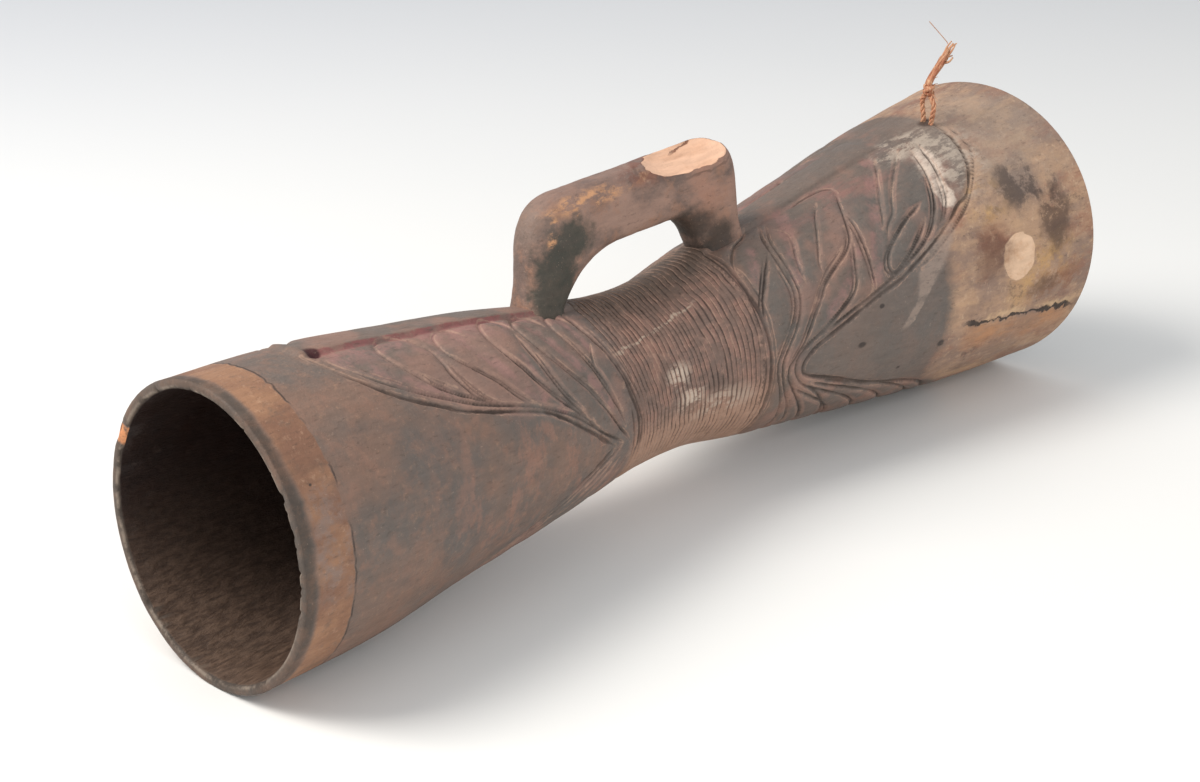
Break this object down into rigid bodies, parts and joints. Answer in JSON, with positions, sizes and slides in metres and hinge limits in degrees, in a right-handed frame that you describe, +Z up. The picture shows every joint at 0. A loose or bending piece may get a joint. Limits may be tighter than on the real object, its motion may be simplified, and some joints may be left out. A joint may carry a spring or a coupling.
{
  "type": "hand drum shell",
  "caption": "Hourglass hand drum carved from one log, open at both ends, with a bail handle, carved leaf panels and a ringed waist. The skin is missing.",
  "frame": {"origin": "centre of the drum body's bounding box, on the floor that its rims rest on", "axes": "+Z up, +X along the drum from the near mouth, which carried the skin, to the far mouth"},
  "size_m": [0.65, 0.1788, 0.2259],
  "materials": {
    "wood": "matt, dark patina",
    "fibre": "dry twisted bast fibre"
  },
  "bodies": {
    "root": {"drum_body": "wood", "fibre_tie": "fibre"}
  },
  "joints": []
}
